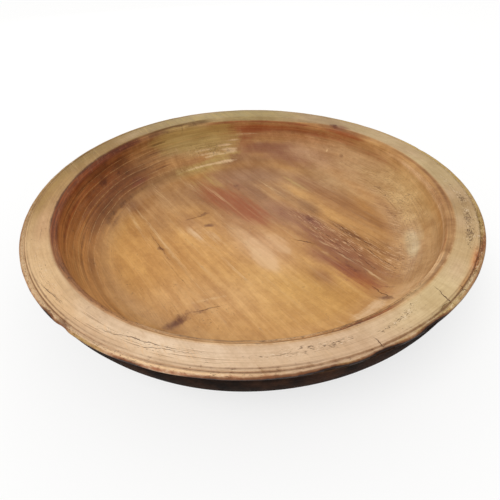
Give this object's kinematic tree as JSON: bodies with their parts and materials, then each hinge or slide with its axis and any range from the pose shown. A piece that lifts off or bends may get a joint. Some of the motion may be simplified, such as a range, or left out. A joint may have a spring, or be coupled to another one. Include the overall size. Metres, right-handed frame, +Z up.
{
  "type": "dough bowl",
  "caption": "Wide, shallow round wooden dough bowl, turned in one piece, with a flat rim, an edge bead and groove, a bevelled lip and a broad floor.",
  "frame": {"origin": "centre of the flat foot, on the turning axis", "axes": "+Z up along the turning axis, towards the open mouth; +X and +Y lie in the plane of the foot, and the camera of the picture looks along +Y"},
  "size_m": [0.5499, 0.55, 0.0924],
  "materials": {
    "turned_wood": "old turned hardwood with a worn satin wax, darker outside"
  },
  "bodies": {
    "root": {"bowl": "turned_wood"}
  },
  "joints": []
}
